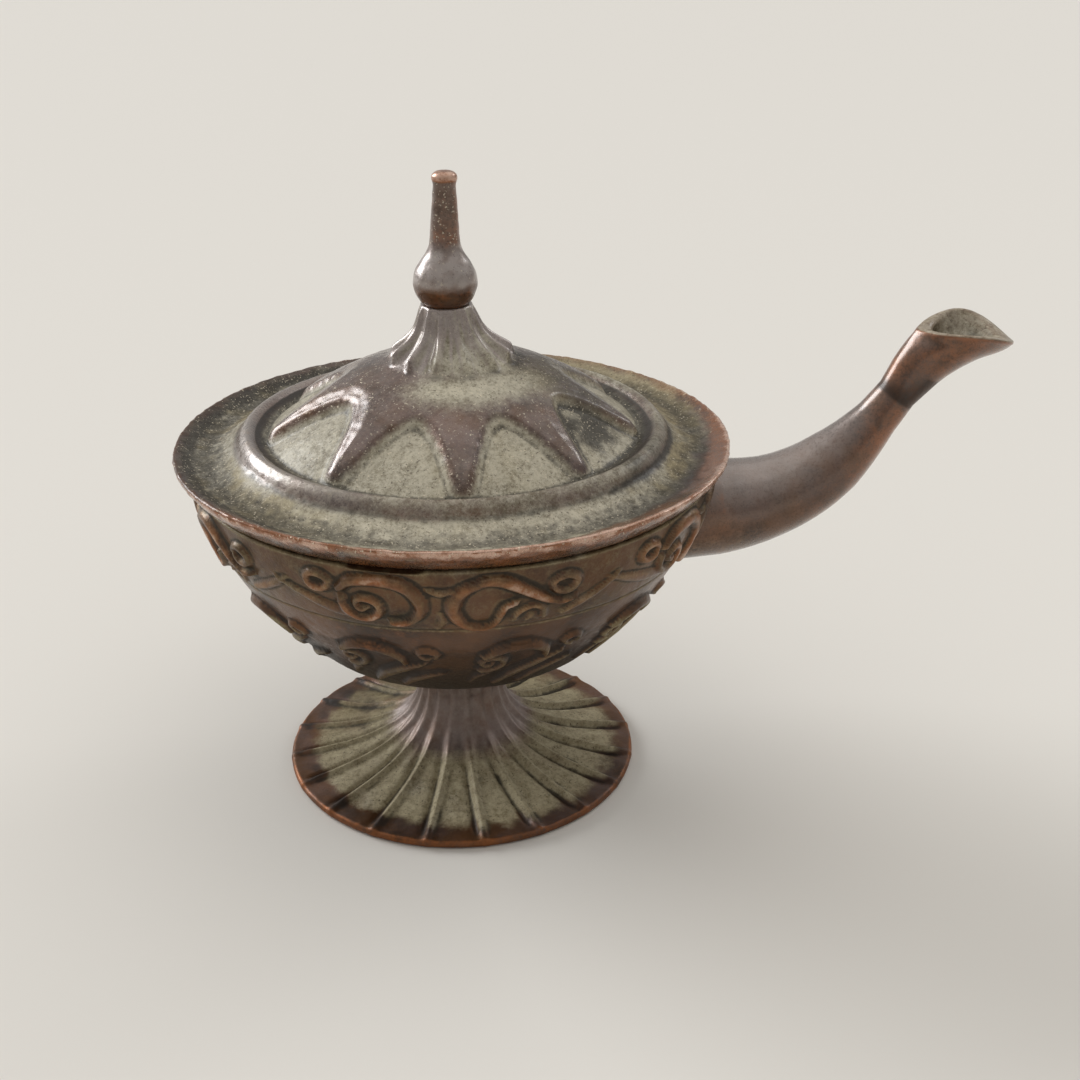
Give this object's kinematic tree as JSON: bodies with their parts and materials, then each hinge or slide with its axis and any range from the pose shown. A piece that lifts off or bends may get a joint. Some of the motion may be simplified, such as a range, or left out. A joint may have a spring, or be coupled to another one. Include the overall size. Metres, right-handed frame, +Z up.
{
  "type": "genie oil lamp",
  "caption": "Small cast oil lamp: flared ribbed foot, round bowl with scroll relief and a rising spout, and a loose domed lid with a ball-and-rod finial.",
  "frame": {"origin": "on the lamp's upright axis, in the plane of the foot's underside, where the lamp stands", "axes": "+Z up along the lamp's axis, +X towards the spout's mouth"},
  "size_m": [0.1139, 0.075, 0.0858],
  "materials": {
    "aged_bronze": "dark brown bronze patina, semi-gloss, worn to copper on edges and raised ornament",
    "steel": "plain turned steel",
    "seal": "matt oil-proof rubber"
  },
  "bodies": {
    "base": {"foot": "aged_bronze", "bowl": "aged_bronze", "spout": "aged_bronze", "stem_bolt": "steel", "seal_washer": "seal", "stem_washer": "steel", "stem_nut": "steel"},
    "lid": {"lid": "aged_bronze", "lid_skirt": "aged_bronze", "finial": "aged_bronze", "finial_washer": "steel", "finial_nut": "steel"}
  },
  "joints": [
    {"name": "lid_lift", "type": "slide", "parent": "base", "child": "lid", "axis": [0, 0, 1], "range_m": [0, 0.06]}
  ]
}
